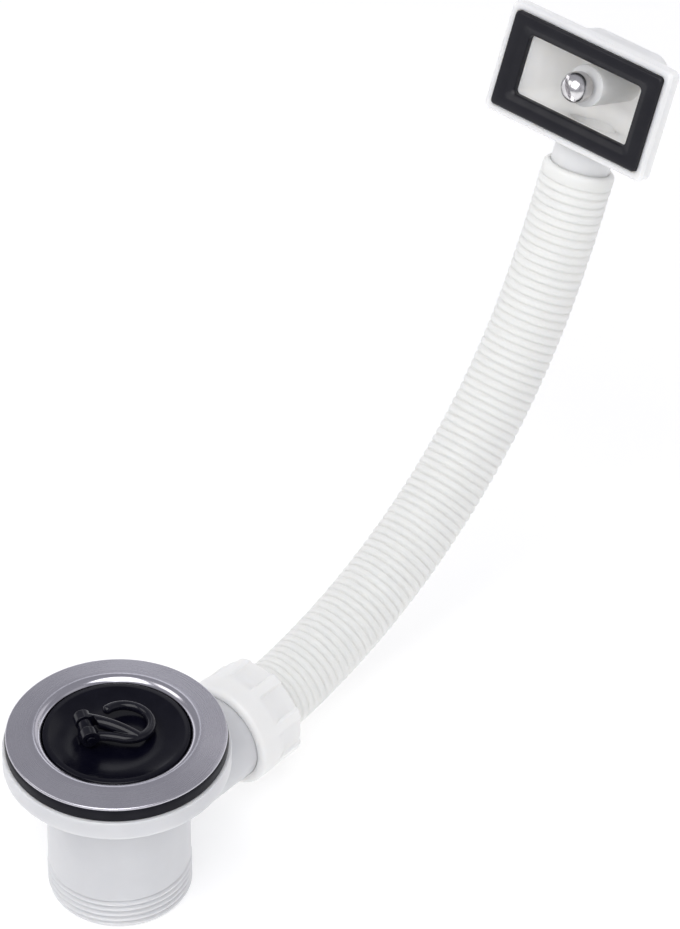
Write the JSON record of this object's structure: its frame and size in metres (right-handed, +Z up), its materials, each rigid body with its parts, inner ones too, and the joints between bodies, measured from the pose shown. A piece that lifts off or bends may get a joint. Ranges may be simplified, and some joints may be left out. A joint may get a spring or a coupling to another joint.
{
  "type": "bath waste and overflow",
  "caption": "Bath waste with a domed steel flange, a hooked plug and a threaded tail, joined by a corrugated hose to a rectangular overflow head with a rubber gasket.",
  "frame": {"origin": "on the waste's axis, in the plane of the steel rim's lower edge, where it meets the bath", "axes": "+Z up along the waste's axis, +X from the waste towards the overflow head, +Y to the left of that direction"},
  "size_m": [0.2988, 0.0744, 0.2162],
  "materials": {
    "flange_steel": "satin pressed stainless",
    "clamp_steel": "turned stainless",
    "face_screw_plating": "bright plated",
    "plug_black": "satin moulded",
    "hook_black": "satin moulded",
    "washer_rubber": "matt",
    "gasket_rubber": "matt",
    "seal_rubber": "matt",
    "body_white": "semi-gloss moulded",
    "nut_white": "semi-gloss moulded",
    "hose_white": "satin blown",
    "head_white": "semi-gloss moulded",
    "slip_white": "plain moulded",
    "insert_brass": "turned"
  },
  "bodies": {
    "waste": {"waste_flange": "flange_steel", "plug": "plug_black", "clamp_screw": "clamp_steel", "flange_washer": "washer_rubber", "waste_body": "body_white", "clamp_insert": "insert_brass", "port_seal": "seal_rubber", "slip_washer": "slip_white", "port_nut": "nut_white", "overflow_hose": "hose_white", "overflow_body": "head_white", "overflow_gasket": "gasket_rubber", "overflow_insert": "insert_brass", "overflow_screw": "face_screw_plating"},
    "hook": {"lifting_hook": "hook_black"}
  },
  "joints": [
    {"name": "hook_hinge", "type": "hinge", "parent": "waste", "child": "hook", "pos_m": [-0.0077, 0.00599, 0.0044], "axis": [-0.5299, -0.848, 0], "range_deg": [0, 180]}
  ]
}
